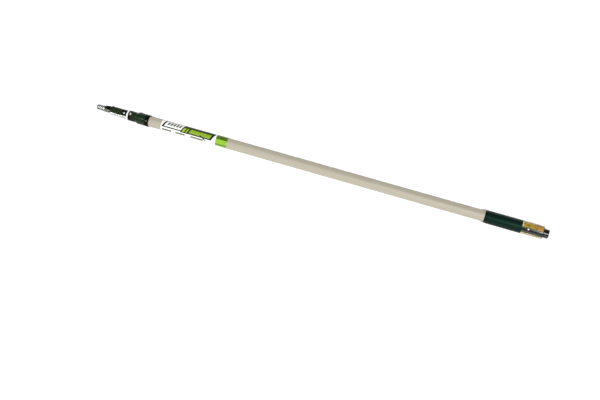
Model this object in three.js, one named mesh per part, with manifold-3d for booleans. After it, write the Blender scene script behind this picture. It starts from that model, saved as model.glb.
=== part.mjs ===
// A two-section roller extension pole, closed, lying on its side on the floor.
//
// Every piece is drawn in the pole's own axes, in millimetres:
//   x runs along the pole, from 0 at the threaded tip to LENGTH at the butt,
//   y points to the side that carries the tip lever and the lock button,
//   z is the direction of the pivot pin and points up from the floor.
// The finished group is moved so that the origin is under the middle of the pole, on the floor.

import * as THREE from 'three'
import { mergeVertices } from 'three/addons/utils/BufferGeometryUtils.js'
import Module from 'manifold-3d'

const wasm = await Module()
wasm.setup()

// ---------------------------------------------------------------- driving dimensions

const LENGTH = 1250
const SIDES = 24 // flats round every coaxial piece, with one flat facing each of +y, -y, +z and -z
const RUNNING_GAP = 0.15 // radial play between pieces that slide or nest on the pole's axis

// outer tube, grip and butt
const TUBE_RADIUS = 14.3
const TUBE_BORE = 12.5
const TUBE_START = 146.9
const TUBE_END = 1234.8
const GRIP_RADIUS = 16.8
const GRIP_BORE = TUBE_RADIUS + RUNNING_GAP
const GRIP_START = 1086.2
const GRIP_END = 1235.5
const GRIP_LABEL_START = 1181.4
const GRIP_LABEL_END = 1234.2
const LABEL_THICKNESS = 0.25
const POLE_LABEL_START = 194.3
const POLE_LABEL_END = 384.5
const CAP_RADIUS = 11.75

// inner pole
const POLE_RADIUS = 12
const POLE_BORE = 10.8
const POLE_START = 43
const POLE_END = 1205
const STOP_PITCH = 50.8 // one locking hole every two inches
const STOPS = 18
const GUIDE_END = POLE_END + 10

// collar
const NOSE_RADIUS = 13.6
const THROAT = { radius: 12.85, end: 119.5 } // the front ring's spigot inside the green body
const SLOT = { x: 101.6, lean: 20.5, halfLength: 2.4, halfWidth: 4 }
const CONE = { start: 119.5, end: 123.5 }
const COLLAR_RADIUS = 15.75
const BAND_RADIUS = 15.85
const BAND_BORE = 15.1
const FRONT_RING_START = 95.5
const HOUSING_START = 113.8
const BAND_START = 146.4
const BAND_END = 157.5
const CAVITY_RADIUS = 14.95
const CAVITY_START = 124.5

// lock
const LOCK_TRAVEL = 1.5
const TOOTH_X = 135
const TOOTH_RADIUS = 2
const WINDOW = { x0: 121.2, x1: 145.1, halfWidth: 12.1, floor: 8 }
const BUTTON_RADIUS = 16
const YOKE = { x0: 126, x1: 144, radius: 14.8, bore: POLE_RADIUS + 0.2 }
const BUTTON_POSTS = [129, 141]
const BUTTON_POST_RADIUS = 1.4

// threaded tip
const THREAD = { end: 22, pitch: 5.08, root: 6.7, tipRadius: 8.2, baseRadius: 8.9, flat: 7.6 }
const SHOULDER_RADIUS = 9.9
const NECK_START = 26
const NECK_RADIUS = 9.6
const SHANK_RADIUS = POLE_BORE - RUNNING_GAP
const SHANK_END = 122
const KEEL_TOP = -7.75 // below this the pole and the tip are full round under the lever
const LEVER_BAY_END = 90.2

// lever
const COVER_START = 40.5
const COVER_END = 76
const PIVOT = { x: 82, y: 2, radius: 2 }
const LEVER_RADIUS = 11.8
const NOSE_SADDLE_RADIUS = 10
const SPRING = { x: 58, foot: 0.4, top: 7.8, radius: 2.2, wire: 0.35, turns: 6 }

// ---------------------------------------------------------------- colours of the finished pieces

const FINISHES = {
  fibreglass: { color: '#c4beab', roughness: 0.5, metalness: 0 },
  greenPlastic: { color: '#1d3b29', roughness: 0.4, metalness: 0 },
  blackPlastic: { color: '#15160f', roughness: 0.45, metalness: 0 },
  navyPlastic: { color: '#18242a', roughness: 0.5, metalness: 0 },
  grip: { color: '#22382f', roughness: 0.7, metalness: 0 },
  aluminium: { color: '#cdd0cc', roughness: 0.35, metalness: 0.9 },
  zinc: { color: '#b9bcb9', roughness: 0.3, metalness: 0.95 },
  steel: { color: '#a9aba8', roughness: 0.25, metalness: 1 },
  nylon: { color: '#e4e5dd', roughness: 0.5, metalness: 0 },
  poleLabel: { color: '#dfe6d2', roughness: 0.35, metalness: 0 },
  gripLabel: { color: '#c9a227', roughness: 0.25, metalness: 0 },
}

// ---------------------------------------------------------------- solids

// A closed geometry as a solid that can be cut and joined, whichever way its faces were wound.
function solid(geometry) {
  const plain = geometry.clone()
  for (const name of Object.keys(plain.attributes)) {
    if (name !== 'position') plain.deleteAttribute(name)
  }
  const merged = mergeVertices(plain, 1e-4)
  const points = new Float32Array(merged.attributes.position.array)
  const corners = new Uint32Array(merged.index.array)
  const [a, b, c] = [new THREE.Vector3(), new THREE.Vector3(), new THREE.Vector3()]
  let volume = 0
  for (let i = 0; i < corners.length; i += 3) {
    a.fromArray(points, 3 * corners[i])
    b.fromArray(points, 3 * corners[i + 1])
    c.fromArray(points, 3 * corners[i + 2])
    volume += a.dot(b.cross(c))
  }
  const triVerts = volume < 0 ? corners.reverse() : corners
  return new wasm.Manifold(new wasm.Mesh({ numProp: 3, vertProperties: points, triVerts }))
}

const join = (first, ...rest) => rest.reduce((whole, piece) => whole.add(piece), first)
const cut = (first, ...rest) => rest.reduce((whole, piece) => whole.subtract(piece), first)
const meet = (first, ...rest) => rest.reduce((whole, piece) => whole.intersect(piece), first)

// A profile of [x, radius] points turned about the pole's axis. The radius is to the flats.
function turned(profile) {
  const toCorner = 1 / Math.cos(Math.PI / SIDES)
  const points = profile.map(([x, radius]) => new THREE.Vector2(radius * toCorner, x))
  const geometry = new THREE.LatheGeometry(points, SIDES, Math.PI / SIDES)
  return solid(geometry.rotateZ(-Math.PI / 2))
}

const rod = (x0, x1, radius) => turned([[x0, 0], [x0, radius], [x1, radius], [x1, 0]])

const sleeve = (x0, x1, bore, radius) =>
  turned([[x0, bore], [x0, radius], [x1, radius], [x1, bore], [x0, bore]])

function box(x0, x1, y0, y1, z0, z1) {
  const geometry = new THREE.BoxGeometry(x1 - x0, y1 - y0, z1 - z0)
  return solid(geometry.translate((x0 + x1) / 2, (y0 + y1) / 2, (z0 + z1) / 2))
}

// A round pin along z, between two heights.
function pinAlongZ(x, y, z0, z1, radius, sides = 16) {
  const geometry = new THREE.CylinderGeometry(radius, radius, z1 - z0, sides)
  return solid(geometry.rotateX(Math.PI / 2).translate(x, y, (z0 + z1) / 2))
}

// A round pin along y, between two levels.
function pinAlongY(x, y0, y1, z, radius, sides = 16) {
  const geometry = new THREE.CylinderGeometry(radius, radius, y1 - y0, sides)
  return solid(geometry.translate(x, (y0 + y1) / 2, z))
}

// A round pin that points out from the pole's axis, between two distances from it.
// The angle is measured from +z towards +y.
function radialPin(x, angle, r0, r1, radius, sides = 12) {
  const geometry = new THREE.CylinderGeometry(radius, radius, r1 - r0, sides)
  geometry.translate(0, (r0 + r1) / 2, 0)
  geometry.rotateX(Math.PI / 2 - angle)
  return solid(geometry.translate(x, 0, 0))
}

// An outline of [z, y] points carried along the pole from x0 to x1.
function bar(x0, x1, outline) {
  const shape = new THREE.Shape(outline.map(([z, y]) => new THREE.Vector2(-z, y)))
  const geometry = new THREE.ExtrudeGeometry(shape, { depth: x1 - x0, bevelEnabled: false })
  return solid(geometry.rotateY(Math.PI / 2).translate(x0, 0, 0))
}

// An outline of [x, y] points carried sideways from -halfWidth to +halfWidth.
function plate(halfWidth, outline) {
  const shape = new THREE.Shape(outline.map(([x, y]) => new THREE.Vector2(x, y)))
  const geometry = new THREE.ExtrudeGeometry(shape, { depth: 2 * halfWidth, bevelEnabled: false })
  return solid(geometry.translate(0, 0, -halfWidth))
}

// The outline of an arch that opens towards -y: two upright sides, chamfers and a flat roof.
function arch({ foot, side, springing, crown, roof }, grow = 0) {
  const half = [[side + grow, foot], [side + grow, springing + grow], [crown + grow, roof + grow]]
  return [...half, ...half.map(([z, y]) => [-z, y]).reverse()]
}

// A groove of trapezoid section that winds round the pole's axis, as a closed solid.
function helicalGroove({ start, turns, pitch, root, mouth, rootWidth, mouthWidth }) {
  const section = [
    [-rootWidth / 2, root],
    [rootWidth / 2, root],
    [mouthWidth / 2, mouth],
    [-mouthWidth / 2, mouth],
  ]
  const steps = Math.round(turns * SIDES)
  const points = []
  for (let i = 0; i <= steps; i++) {
    const angle = (i / SIDES) * 2 * Math.PI
    const along = start + (pitch * i) / SIDES
    for (const [offset, radius] of section) {
      points.push(along + offset, radius * Math.cos(angle), radius * Math.sin(angle))
    }
  }
  const index = [0, 1, 2, 0, 2, 3]
  for (let i = 0; i < steps; i++) {
    for (let k = 0; k < 4; k++) {
      const [a, b] = [4 * i + k, 4 * i + ((k + 1) % 4)]
      index.push(a, a + 4, b, b, a + 4, b + 4)
    }
  }
  const last = 4 * steps
  index.push(last, last + 2, last + 1, last, last + 3, last + 2)
  const geometry = new THREE.BufferGeometry()
  geometry.setAttribute('position', new THREE.Float32BufferAttribute(points, 3))
  geometry.setIndex(index)
  return solid(geometry)
}

// The path of a coil spring's wire, wound about an axis parallel to y.
class CoilPath extends THREE.Curve {
  constructor({ x, y0, y1, radius, turns }) {
    super()
    Object.assign(this, { x, y0, y1, radius, turns })
  }

  getPoint(t, target = new THREE.Vector3()) {
    const angle = 2 * Math.PI * this.turns * t
    const y = this.y0 + (this.y1 - this.y0) * t
    return target.set(this.x + this.radius * Math.cos(angle), y, this.radius * Math.sin(angle))
  }
}

// ---------------------------------------------------------------- outer tube, grip and butt

// The rivets that hold the collar lean a little to the -y side, one on each face of the pole.
const COLLAR_RIVET = { x: 150.5, angle: THREE.MathUtils.degToRad(-11), shank: 1.45, head: 2.4 }
const collarRivetAngles = [COLLAR_RIVET.angle, Math.PI - COLLAR_RIVET.angle]

const collarRivetHoles = () =>
  collarRivetAngles.map((angle) =>
    radialPin(COLLAR_RIVET.x, angle, POLE_RADIUS, GRIP_RADIUS, COLLAR_RIVET.shank + RUNNING_GAP))

function outerTube() {
  return cut(sleeve(TUBE_START, TUBE_END, TUBE_BORE, TUBE_RADIUS), ...collarRivetHoles())
}

// The grip is turned down under its label, so that the label lies flush.
function grip() {
  const lip = 1.2
  const recess = GRIP_RADIUS - LABEL_THICKNESS - 0.1
  return turned([
    [GRIP_START, GRIP_BORE],
    [GRIP_START, GRIP_RADIUS - lip],
    [GRIP_START + lip, GRIP_RADIUS],
    [GRIP_LABEL_START - 0.2, GRIP_RADIUS],
    [GRIP_LABEL_START - 0.2, recess],
    [GRIP_LABEL_END + 0.2, recess],
    [GRIP_LABEL_END + 0.2, GRIP_RADIUS],
    [GRIP_END - 0.6, GRIP_RADIUS],
    [GRIP_END, GRIP_RADIUS - 0.6],
    [GRIP_END, GRIP_BORE],
    [GRIP_START, GRIP_BORE],
  ])
}

const gripLabel = () =>
  sleeve(GRIP_LABEL_START, GRIP_LABEL_END, GRIP_RADIUS - LABEL_THICKNESS, GRIP_RADIUS)

const poleLabel = () =>
  sleeve(POLE_LABEL_START, POLE_LABEL_END, TUBE_RADIUS + 0.1, TUBE_RADIUS + 0.1 + LABEL_THICKNESS)

// A hollow plug: its shank grips the tube's bore, and a smaller closed boss stands out behind.
function buttCap() {
  const shank = TUBE_BORE - RUNNING_GAP
  const shankStart = TUBE_END - 13
  const edge = 1.2
  const wall = 2.4
  return turned([
    [shankStart, shank - wall],
    [shankStart, shank - 0.6],
    [shankStart + 1.5, shank],
    [TUBE_END - 0.3, shank],
    [TUBE_END - 0.3, CAP_RADIUS],
    [LENGTH - edge, CAP_RADIUS],
    [LENGTH, CAP_RADIUS - edge],
    [LENGTH, 0],
    [LENGTH - 4, 0],
    [LENGTH - 4, CAP_RADIUS - wall],
    [TUBE_END - 2, CAP_RADIUS - wall],
    [TUBE_END - 4, shank - wall],
    [shankStart, shank - wall],
  ])
}

// ---------------------------------------------------------------- collar

// The black mouth of the collar, which the inner pole runs through. Two oval slots show the bare pole.
function frontRing() {
  const bore = POLE_RADIUS + 0.2
  const shellEnd = HOUSING_START - 0.3
  const ring = turned([
    [FRONT_RING_START, bore + 0.3],
    [FRONT_RING_START, NOSE_RADIUS - 0.8],
    [FRONT_RING_START + 0.8, NOSE_RADIUS],
    [shellEnd, NOSE_RADIUS],
    [shellEnd, THROAT.radius],
    [THROAT.end, THROAT.radius],
    [THROAT.end, bore],
    [FRONT_RING_START + 0.8, bore],
    [FRONT_RING_START, bore + 0.3],
  ])
  const lean = THREE.MathUtils.degToRad(SLOT.lean)
  const slots = [lean, Math.PI - lean].map((angle) => {
    const geometry = new THREE.CylinderGeometry(1, 1, 4, 20)
    geometry.scale(SLOT.halfLength, 1, SLOT.halfWidth)
    geometry.translate(0, NOSE_RADIUS, 0)
    return solid(geometry.rotateX(Math.PI / 2 - angle).translate(SLOT.x, 0, 0))
  })
  return cut(ring, ...slots)
}

// The green body of the collar: a nose, a wide barrel with a cavity for the lock, and a rear sleeve.
function lockHousing() {
  const sleeveRadius = BAND_BORE - 0.1
  const sleeveEnd = BAND_END - 0.5
  const throat = THROAT.radius + RUNNING_GAP
  const throatEnd = THROAT.end + 0.4
  const shell = turned([
    [HOUSING_START, throat],
    [HOUSING_START, NOSE_RADIUS],
    [CONE.start, NOSE_RADIUS],
    [CONE.end, COLLAR_RADIUS],
    [BAND_START - 0.3, COLLAR_RADIUS],
    [BAND_START - 0.3, sleeveRadius],
    [sleeveEnd, sleeveRadius],
    [sleeveEnd, TUBE_RADIUS + RUNNING_GAP],
    [TUBE_START - 0.4, TUBE_RADIUS + RUNNING_GAP],
    [TUBE_START - 0.4, CAVITY_RADIUS - 0.3],
    [TUBE_START - 0.7, CAVITY_RADIUS],
    [CAVITY_START, CAVITY_RADIUS],
    [CAVITY_START, POLE_RADIUS + 0.3],
    [throatEnd, POLE_RADIUS + 0.3],
    [throatEnd, throat],
    [HOUSING_START, throat],
  ])
  const { x0, x1, halfWidth, floor } = WINDOW
  return cut(shell, box(x0, x1, floor, 20, -halfWidth, halfWidth), ...collarRivetHoles())
}

// The black band round the back of the collar, with one turned groove.
function collarBand() {
  const groove = [152.6, 154.6]
  const band = turned([
    [BAND_START, BAND_BORE],
    [BAND_START, BAND_RADIUS],
    [groove[0], BAND_RADIUS],
    [groove[0] + 0.4, BAND_RADIUS - 0.4],
    [groove[1] - 0.4, BAND_RADIUS - 0.4],
    [groove[1], BAND_RADIUS],
    [BAND_END - 0.5, BAND_RADIUS],
    [BAND_END, BAND_RADIUS - 0.4],
    [BAND_END, BAND_BORE],
    [BAND_START, BAND_BORE],
  ])
  return cut(band, ...collarRivetHoles())
}

function collarRivet(angle) {
  const { x, shank, head } = COLLAR_RIVET
  const seat = BAND_RADIUS + 0.2
  return join(
    radialPin(x, angle, TUBE_BORE + 0.2, seat + 0.2, shank),
    radialPin(x, angle, seat, seat + 0.5, head, 16),
  )
}

// ---------------------------------------------------------------- lock

// A ring round the inner pole, free to move by the lock's travel along y inside the collar's cavity.
// The spring holds it up against the cavity, where the tooth is in its hole.
function lockYoke() {
  const { x0, x1, radius, bore } = YOKE
  const outer = meet(rod(x0, x1, radius), rod(x0, x1, radius).translate([0, LOCK_TRAVEL, 0]))
  const slot = join(
    rod(x0 - 1, x1 + 1, bore),
    rod(x0 - 1, x1 + 1, bore).translate([0, LOCK_TRAVEL, 0]),
    box(x0 - 1, x1 + 1, 0, LOCK_TRAVEL, -bore, bore),
  )
  const toothHole = pinAlongY(TOOTH_X, -20, 0, 0, TOOTH_RADIUS + 0.1)
  const postHoles = BUTTON_POSTS.map((x) => pinAlongY(x, 5, 20, 0, BUTTON_POST_RADIUS + RUNNING_GAP))
  return cut(outer, slot, toothHole, ...postHoles)
}

// The steel pin that stands in a hole of the inner pole when the button is let go.
function lockTooth() {
  const foot = -YOKE.radius + LOCK_TRAVEL + 0.05
  const tip = -POLE_BORE - 0.1
  return join(
    pinAlongY(TOOTH_X, foot, tip - 0.5, 0, TOOTH_RADIUS),
    solid(new THREE.CylinderGeometry(TOOTH_RADIUS - 0.5, TOOTH_RADIUS, 0.5, 16)
      .translate(TOOTH_X, tip - 0.25, 0)),
  )
}

// The thumb button: a saddle in the collar's window, carried on the yoke by two posts.
function lockButton() {
  const [x0, x1] = [WINDOW.x0 + 0.3, WINDOW.x1 - 0.3]
  const halfWidth = WINDOW.halfWidth - 0.3
  const blank = turned([[x0, 0], [x0, 14.7], [x0 + 3, BUTTON_RADIUS], [x1, BUTTON_RADIUS], [x1, 0]])
  const knobTop = [[125.5, 16.3], [126.3, 16.6], [131.1, 16.6], [131.9, 16.3]]
  const knob = plate(5.5, [[125, 15], ...knobTop, [132.4, 15]])
  const poleRoom = rod(x0 - 1, x1 + 1, YOKE.bore + 0.1).translate([0, LOCK_TRAVEL, 0])
  const yokeRoom = rod(YOKE.x0 - 0.3, YOKE.x1 + 0.3, YOKE.radius + RUNNING_GAP)
  const window = box(x0, x1, WINDOW.floor + LOCK_TRAVEL + 0.3, 20, -halfWidth, halfWidth)
  const saddle = meet(cut(join(blank, knob), poleRoom, yokeRoom), window)
  const posts = BUTTON_POSTS.map((x) => pinAlongY(x, 13.8, 15.4, 0, BUTTON_POST_RADIUS))
  return join(saddle, ...posts)
}

// A bowed leaf of spring steel between the yoke and the floor of the cavity.
function lockSpring() {
  const thickness = 0.25
  const top = -YOKE.radius + LOCK_TRAVEL - 0.1
  const [halfSpan, sag] = [8, 1.1]
  const half = []
  for (let i = 0; i <= 8; i++) {
    const z = -halfSpan + (2 * halfSpan * i) / 8
    half.push([z, top - thickness - 0.1 + sag * (z / halfSpan) ** 2])
  }
  const outline = [...half, ...half.map(([z, y]) => [z, y + thickness]).reverse()]
  return bar(TOOTH_X - 6, TOOTH_X + 6, outline)
}

// ---------------------------------------------------------------- inner pole

const TIP_RIVET = { x: 45.5, angle: THREE.MathUtils.degToRad(-59), shank: 1.1, head: 1.6 }
const tipRivetAngles = [TIP_RIVET.angle, Math.PI - TIP_RIVET.angle]

const tipRivetHoles = () =>
  tipRivetAngles.map((angle) =>
    radialPin(TIP_RIVET.x, angle, 8.8, POLE_RADIUS + 2, TIP_RIVET.shank + RUNNING_GAP))

// Above the keel the front of the pole is open, to make room for the lever.
const leverBay = () => box(POLE_START - 1, LEVER_BAY_END, KEEL_TOP, 20, -20, 20)

function innerTube() {
  const tube = sleeve(POLE_START, POLE_END, POLE_BORE, POLE_RADIUS)
  const holes = []
  for (let i = 0; i <= STOPS; i++) {
    const x = TOOTH_X + i * STOP_PITCH
    holes.push(pinAlongY(x, -POLE_RADIUS - 2, -POLE_BORE + 2, 0, TOOTH_RADIUS + 0.9, 12))
  }
  return cut(tube, leverBay(), ...holes, ...tipRivetHoles())
}

// The light ring that meets the collar's mouth when the pole is closed.
const stopRing = () => sleeve(LEVER_BAY_END + 0.2, FRONT_RING_START - 0.3, POLE_RADIUS + 0.1, 12.8)

// A flanged plug in the back end of the inner pole, which centres it in the outer tube.
function poleGuide() {
  const spigot = POLE_BORE - RUNNING_GAP
  return turned([
    [POLE_END - 15, spigot - 2],
    [POLE_END - 15, spigot],
    [POLE_END + 0.2, spigot],
    [POLE_END + 0.2, TUBE_BORE - RUNNING_GAP],
    [GUIDE_END, TUBE_BORE - RUNNING_GAP],
    [GUIDE_END, spigot - 2],
    [POLE_END - 15, spigot - 2],
  ])
}

// The cast tip: thread, shoulder, a neck under the lever's nose, and a shank inside the pole.
// Above the keel only a narrow web is left, which carries the lever's pivot and spring.
function threadedTip() {
  const { end, pitch, root, tipRadius, baseRadius, flat } = THREAD
  const neckWebTop = 3.3
  const blank = turned([
    [0, 0],
    [0, tipRadius - 0.9],
    [1.2, tipRadius],
    [end, baseRadius],
    [end, SHOULDER_RADIUS],
    [NECK_START - 0.3, SHOULDER_RADIUS],
    [NECK_START - 0.3, NECK_RADIUS],
    [POLE_START, NECK_RADIUS],
    [POLE_START, SHANK_RADIUS],
    [SHANK_END, SHANK_RADIUS],
    [SHANK_END, 0],
  ])
  const rootWidth = 0.37 * pitch
  const mouth = 11
  const flank = THREE.MathUtils.degToRad(14.5)
  const mouthWidth = rootWidth + 2 * (mouth - root) * Math.tan(flank)
  const groove = helicalGroove({ start: -4, turns: 4.5, pitch, root, mouth, rootWidth, mouthWidth })
  const flats = [box(-1, end - 1, -20, 20, flat, 20), box(-1, end - 1, -20, 20, -20, -flat)]
  const aboveNeckKeel = box(NECK_START, POLE_START, -4.5, 20, -20, 20)
  const aboveKeel = box(POLE_START - 0.1, LEVER_BAY_END, KEEL_TOP - 0.3, 20, -20, 20)
  const webEnd = LEVER_BAY_END + 1
  const webFoot = [[42, -9], [webEnd, -9]]
  const web = join(
    plate(4.9, [[NECK_START - 1, -6], [44, -6], [44, neckWebTop], [NECK_START - 1, neckWebTop]]),
    plate(4.4, [...webFoot, [webEnd, 7.6], [COVER_END, 7.6], [POLE_START, 5.4], [42, neckWebTop]]),
  )
  const springPocket = pinAlongY(SPRING.x, 0, 20, 0, 3)
  const pivotHole = pinAlongZ(PIVOT.x, PIVOT.y, -20, 20, PIVOT.radius + 0.1)
  const body = cut(blank, groove, ...flats, aboveNeckKeel, aboveKeel)
  return cut(join(body, web), springPocket, pivotHole, ...tipRivetHoles())
}

function tipRivet(angle) {
  const { x, shank, head } = TIP_RIVET
  const seat = POLE_RADIUS + 0.2
  return join(
    radialPin(x, angle, 9.4, seat + 0.2, shank),
    radialPin(x, angle, seat, seat + 0.5, head, 16),
  )
}

// The lever turns on this headed pin, whose other end is held by a push-on clip.
function leverPin() {
  const { x, y, radius } = PIVOT
  return join(pinAlongZ(x, y, -11.3, 10.6, radius), pinAlongZ(x, y, 10.4, 11.4, radius + 1.1))
}

function leverPinClip() {
  const { x, y, radius } = PIVOT
  return cut(pinAlongZ(x, y, -11, -10.4, radius + 1), pinAlongZ(x, y, -12, -9, radius + 0.1))
}

// A coil spring in a pocket of the web pushes the front of the lever out.
function leverSpring() {
  const { x, foot, top, radius, wire, turns } = SPRING
  const path = new CoilPath({ x, y0: foot + wire, y1: top - wire, radius, turns })
  const section = new THREE.Shape()
  for (let i = 0; i < 5; i++) {
    const angle = (i * 2 * Math.PI) / 5
    const corner = [wire * Math.cos(angle), wire * Math.sin(angle)]
    if (i) section.lineTo(...corner)
    else section.moveTo(...corner)
  }
  const wound = { steps: 10 * turns, extrudePath: path, bevelEnabled: false }
  return solid(new THREE.ExtrudeGeometry(section, wound))
}

// ---------------------------------------------------------------- lever

const NOSE_ARCH = { foot: -20, side: 7.4, springing: 4.2, crown: 4.6, roof: 7.2 }
const ARM_ARCH = { foot: -20, side: 7.9, springing: 4.4, crown: 4.8, roof: 8.2 }
const ARM_SKIN = { foot: -20, side: 8.9, springing: 5, crown: 5.4, roof: 9.2 }

// The black arm: a latch nose over the tip's neck, a channel under the cover, and the pivot block.
function leverArm() {
  const noseStart = NECK_START + 0.8
  const armEnd = 88.5
  const blockStart = COVER_END + 0.3
  const nose = turned([
    [noseStart, 0],
    [noseStart, NOSE_SADDLE_RADIUS - 0.8],
    [noseStart + 0.8, NOSE_SADDLE_RADIUS],
    [COVER_START - 0.3, NOSE_SADDLE_RADIUS],
    [COVER_START - 0.3, 0],
  ])
  const catchRidge = plate(3, [[29, 9], [35.5, 10.7], [36.3, 10.7], [36.3, 9]])
  const channel = bar(COVER_START - 0.9, blockStart + 1, arch({ ...ARM_SKIN, foot: -5.3 }))
  const block = turned([
    [blockStart, 0],
    [blockStart, LEVER_RADIUS],
    [armEnd - 0.8, LEVER_RADIUS],
    [armEnd, LEVER_RADIUS - 0.8],
    [armEnd, 0],
  ])
  const belowNose = box(20, POLE_START + 0.4, -20, -0.9, -20, 20)
  const belowBlock = box(blockStart, 100, -20, -5, -20, 20)
  const { x, y, radius } = PIVOT
  return cut(
    join(nose, catchRidge, channel, block),
    belowNose,
    belowBlock,
    bar(noseStart - 1, COVER_START + 1, arch(NOSE_ARCH)),
    bar(COVER_START + 0.9, armEnd + 1, arch(ARM_ARCH)),
    pinAlongZ(x, y, -20, 20, radius + 0.15),
    pinAlongZ(x, y, 10.1, 20, radius + 1.5),
    pinAlongZ(x, y, -20, -10.1, radius + 1.5),
  )
}

// The green cover over the arm, with a thumb bump near its front.
function leverCover() {
  const shell = turned([
    [COVER_START, 0],
    [COVER_START, LEVER_RADIUS - 0.6],
    [COVER_START + 0.6, LEVER_RADIUS],
    [COVER_END, LEVER_RADIUS],
    [COVER_END, 0],
  ])
  const bumpTop = [[40.9, 11.6], [42.5, 12.4], [44.5, 12.6], [47, 12.3], [51, 11.4]]
  const bump = plate(6, [[40.9, 9.5], ...bumpTop, [51, 9.5]])
  // the lower edge is deepest at mid length
  const below = plate(20, [[40, -4.6], [46, -5.6], [58, -6.1], [77, -5.2], [77, -20], [40, -20]])
  return cut(join(shell, bump), below, bar(COVER_START - 1, COVER_END + 1, arch(ARM_SKIN, 0.15)))
}

// ---------------------------------------------------------------- the assembly

const part = new THREE.Group()
part.position.set(-LENGTH / 2, 0, GRIP_RADIUS)

function add(name, piece, finish) {
  const { vertProperties, triVerts } = piece.getMesh()
  const geometry = new THREE.BufferGeometry()
  geometry.setAttribute('position', new THREE.Float32BufferAttribute(vertProperties, 3))
  geometry.setIndex(new THREE.Uint32BufferAttribute(triVerts, 1))
  geometry.computeVertexNormals()
  const mesh = new THREE.Mesh(geometry, new THREE.MeshStandardMaterial(FINISHES[finish]))
  mesh.name = name
  part.add(mesh)
}

add('outer_tube', outerTube(), 'fibreglass')
add('grip', grip(), 'grip')
add('grip_label', gripLabel(), 'gripLabel')
add('pole_label', poleLabel(), 'poleLabel')
add('butt_cap', buttCap(), 'blackPlastic')
add('front_ring', frontRing(), 'blackPlastic')
add('lock_housing', lockHousing(), 'greenPlastic')
add('collar_band', collarBand(), 'blackPlastic')
add('collar_rivet_upper', collarRivet(collarRivetAngles[0]), 'steel')
add('collar_rivet_lower', collarRivet(collarRivetAngles[1]), 'steel')
add('lock_spring', lockSpring(), 'steel')

add('lock_yoke', lockYoke(), 'blackPlastic')
add('lock_tooth', lockTooth(), 'steel')
add('lock_button', lockButton(), 'navyPlastic')

add('inner_tube', innerTube(), 'aluminium')
add('stop_ring', stopRing(), 'nylon')
add('pole_guide', poleGuide(), 'nylon')
add('threaded_tip', threadedTip(), 'zinc')
add('tip_rivet_upper', tipRivet(tipRivetAngles[0]), 'steel')
add('tip_rivet_lower', tipRivet(tipRivetAngles[1]), 'steel')
add('lever_pin', leverPin(), 'steel')
add('lever_pin_clip', leverPinClip(), 'steel')
add('lever_spring', leverSpring(), 'steel')

add('lever_arm', leverArm(), 'blackPlastic')
add('lever_cover', leverCover(), 'greenPlastic')

export default part
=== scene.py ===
# The looks of a two-section roller extension pole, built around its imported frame.
#
# Pieces are drawn in the pole's own axes, in millimetres: x runs from the threaded tip to the butt,
# y points to the side of the tip lever and the lock button, z points up from the pole's axis.
# publish() moves a finished mesh to the frame's metres.
from math import asin, atan2, ceil, cos, degrees, hypot, pi, radians, sin, sqrt, tan

import bmesh
import bpy
from mathutils import Matrix, Vector


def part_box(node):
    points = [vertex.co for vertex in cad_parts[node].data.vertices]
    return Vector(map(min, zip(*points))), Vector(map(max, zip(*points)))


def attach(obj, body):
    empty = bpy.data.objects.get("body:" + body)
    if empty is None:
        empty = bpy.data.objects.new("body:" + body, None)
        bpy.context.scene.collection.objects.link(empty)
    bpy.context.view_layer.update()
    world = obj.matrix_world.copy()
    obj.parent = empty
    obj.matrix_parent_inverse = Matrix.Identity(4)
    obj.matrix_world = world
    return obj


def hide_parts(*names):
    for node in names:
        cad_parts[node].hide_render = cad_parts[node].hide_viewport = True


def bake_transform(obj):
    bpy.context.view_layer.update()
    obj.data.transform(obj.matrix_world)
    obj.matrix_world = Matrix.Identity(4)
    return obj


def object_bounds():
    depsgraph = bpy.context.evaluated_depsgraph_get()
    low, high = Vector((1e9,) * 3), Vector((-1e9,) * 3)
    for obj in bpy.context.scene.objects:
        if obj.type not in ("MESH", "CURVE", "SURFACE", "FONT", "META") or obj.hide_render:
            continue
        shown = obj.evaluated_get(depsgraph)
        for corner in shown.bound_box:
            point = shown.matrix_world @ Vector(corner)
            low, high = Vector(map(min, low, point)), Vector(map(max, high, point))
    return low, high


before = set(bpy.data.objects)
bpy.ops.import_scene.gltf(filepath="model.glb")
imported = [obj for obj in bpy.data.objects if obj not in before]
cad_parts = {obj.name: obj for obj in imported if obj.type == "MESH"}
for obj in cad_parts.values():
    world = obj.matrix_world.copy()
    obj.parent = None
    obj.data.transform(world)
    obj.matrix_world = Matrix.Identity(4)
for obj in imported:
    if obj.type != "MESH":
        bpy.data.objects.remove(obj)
CAD_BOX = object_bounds()

# ---- places taken from the frame

MM = 0.001
TIP = CAD_BOX[0].x / MM
AXIS_HEIGHT = (CAD_BOX[0].z + CAD_BOX[1].z) / 2 / MM
TO_FRAME = Matrix.Scale(MM, 4) @ Matrix.Translation((TIP, 0, AXIS_HEIGHT))


def span(node):
    """Where a CAD node starts and ends along the pole, and how far up from the axis it reaches."""
    low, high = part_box(node)
    return low.x / MM - TIP, high.x / MM - TIP, high.z / MM - AXIS_HEIGHT


TUBE_START, TUBE_END, TUBE_RADIUS = span("outer_tube")
GRIP_START, GRIP_END, GRIP_RADIUS = span("grip")
GRIP_LABEL_START, GRIP_LABEL_END, _ = span("grip_label")
POLE_LABEL_START, POLE_LABEL_END, POLE_LABEL_RADIUS = span("pole_label")
_, BUTT_END, BUTT_PLUG_RADIUS = span("butt_cap")
MOUTH_START, _, MOUTH_RADIUS = span("front_ring")
HOUSING_START, HOUSING_END, COLLAR_RADIUS = span("lock_housing")
BAND_START, BAND_END, BAND_RADIUS = span("collar_band")
POLE_START, POLE_END, POLE_RADIUS = span("inner_tube")
STOP_START, STOP_END, STOP_RADIUS = span("stop_ring")
GUIDE_START, GUIDE_END, GUIDE_RADIUS = span("pole_guide")
YOKE_START, YOKE_END, YOKE_RADIUS = span("lock_yoke")
BUTTON_START, BUTTON_END, BUTTON_HALF_WIDTH = span("lock_button")
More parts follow.
